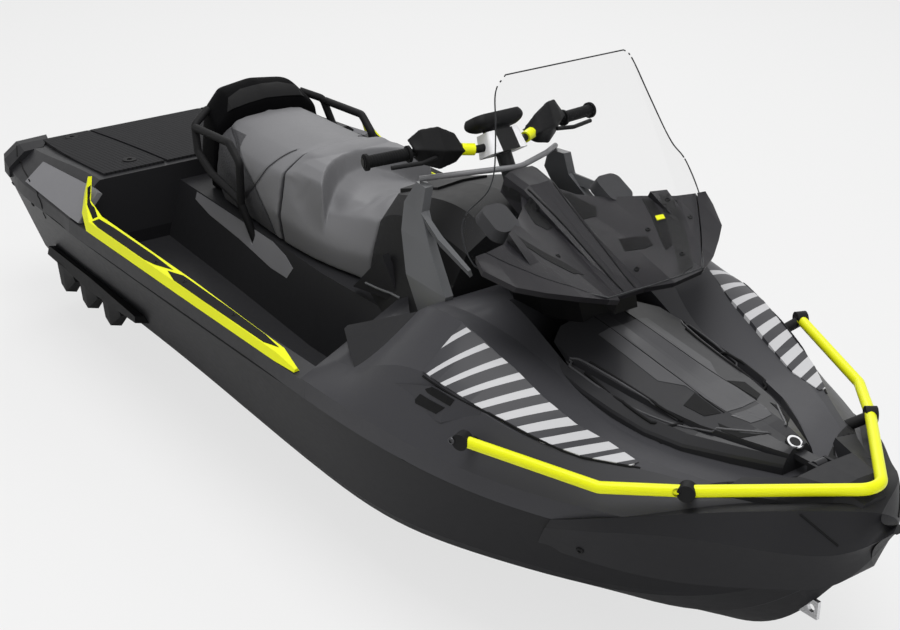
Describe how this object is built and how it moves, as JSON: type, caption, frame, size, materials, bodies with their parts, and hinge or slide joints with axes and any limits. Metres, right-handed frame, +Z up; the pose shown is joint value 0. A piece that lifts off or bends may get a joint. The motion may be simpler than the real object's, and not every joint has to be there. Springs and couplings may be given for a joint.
{
  "type": "personal watercraft",
  "caption": "Touring personal watercraft with V hull, jet pump, stepped seat, tall clear windshield, tubular bow rail, edge guards and long rear cargo deck.",
  "frame": {"origin": "centreline amidships, at the waterline", "axes": "+X to the bow, +Y to port, +Z up"},
  "size_m": [3.708, 1.262, 1.397],
  "materials": {
    "hull_gelcoat": "gloss",
    "deck_gelcoat": "satin",
    "engine_casting": "matte",
    "bumper_plastic": "matte",
    "deck_mat": "matte",
    "neon_paint": "satin",
    "side_grey": "satin",
    "fender_grey": "satin",
    "console_silver": "satin",
    "rim_light": "satin",
    "console_black": "matte",
    "seat_vinyl": "satin",
    "handle_plastic": "matte",
    "hood_gloss": "gloss",
    "fairing_matte": "matte",
    "screen_clear": "clear",
    "badge_metal": "satin",
    "bar_steel": "satin",
    "cover_silver": "satin",
    "grip_rubber": "matte",
    "guard_plastic": "satin",
    "stainless": "satin",
    "pump_alloy": "satin",
    "impeller_steel": "polished",
    "bucket_plastic": "matte",
    "ladder_tube": "satin"
  },
  "bodies": {
    "craft": {"hull": "hull_gelcoat", "deck": "deck_gelcoat", "engine": "engine_casting", "bow_bumper": "bumper_plastic", "bow_bracket": "bumper_plastic", "stern_corners": "bumper_plastic", "sponsons": "bumper_plastic", "rail_clamps": "bumper_plastic", "cargo_anchors": "bumper_plastic", "fender_vents": "bumper_plastic", "platform_mat": "deck_mat", "footwell_rail_port": "neon_paint", "footwell_rail_starboard": "neon_paint", "bow_rail": "neon_paint", "side_panels": "side_grey", "fender_panel_port": "fender_grey", "fender_panel_starboard": "fender_grey", "console_frame_port": "console_silver", "console_frame_starboard": "console_silver", "dash_rim": "rim_light", "console": "console_black", "knee_deflectors": "console_black", "side_frames": "console_black", "seat_rear_cap": "console_black", "front_seat": "seat_vinyl", "rear_seat": "seat_vinyl", "grab_handles": "handle_plastic", "bow_eye": "stainless", "stern_eyes": "stainless", "intake_grate": "stainless", "pump_housing": "pump_alloy", "ride_plate": "pump_alloy", "ladder_brackets": "ladder_tube"},
    "front_lid": {"front_hood": "hood_gloss", "screen_fairing": "fairing_matte", "windshield": "screen_clear", "nose_disc": "badge_metal", "mirror_pods": "console_black"},
    "steering": {"steering_column": "bar_steel", "steering_cover": "cover_silver", "gauge_pod": "console_black", "handlebar_grips": "grip_rubber", "hand_guards": "guard_plastic", "control_levers": "guard_plastic"},
    "glovebox_lid": {"glovebox_lid": "console_black"},
    "impeller": {"impeller": "impeller_steel"},
    "steering_nozzle": {"steering_nozzle": "pump_alloy"},
    "reverse_bucket": {"reverse_bucket": "bucket_plastic"},
    "boarding_ladder": {"boarding_ladder": "ladder_tube"}
  },
  "joints": [
    {"name": "steering_turn", "type": "hinge", "parent": "craft", "child": "steering", "pos_m": [0.408, 0, 0.838], "axis": [-0.5, 0, 0.866], "range_deg": [-22, 22]},
    {"name": "nozzle_turn", "type": "hinge", "parent": "craft", "child": "steering_nozzle", "pos_m": [-1.494, 0, -0.12], "axis": [0, 0, 1], "range_deg": [-18, 18]},
    {"name": "impeller_spin", "type": "hinge", "parent": "craft", "child": "impeller", "pos_m": [-1.289, 0, -0.12], "axis": [1, 0, 0], "continuous": true},
    {"name": "bucket_drop", "type": "hinge", "parent": "craft", "child": "reverse_bucket", "pos_m": [-1.494, 0, -0.12], "axis": [0, -1, 0], "range_deg": [0, 44]},
    {"name": "front_lid_open", "type": "hinge", "parent": "craft", "child": "front_lid", "pos_m": [1.612, 0, 0.386], "axis": [0, 1, 0], "range_deg": [0, 40]},
    {"name": "glovebox_open", "type": "hinge", "parent": "craft", "child": "glovebox_lid", "pos_m": [0.239, 0, 0.69], "axis": [0, 1, 0], "range_deg": [0, 70]},
    {"name": "ladder_fold", "type": "hinge", "parent": "craft", "child": "boarding_ladder", "pos_m": [-1.752, 0, -0.07], "axis": [0, -1, 0], "range_deg": [0, 160], "stiffness_Nm_per_rad": 4, "springref_deg": -17.19}
  ],
  "couplings": [
    {"joint": "nozzle_turn", "follows": "steering_turn", "ratio": -0.8}
  ]
}
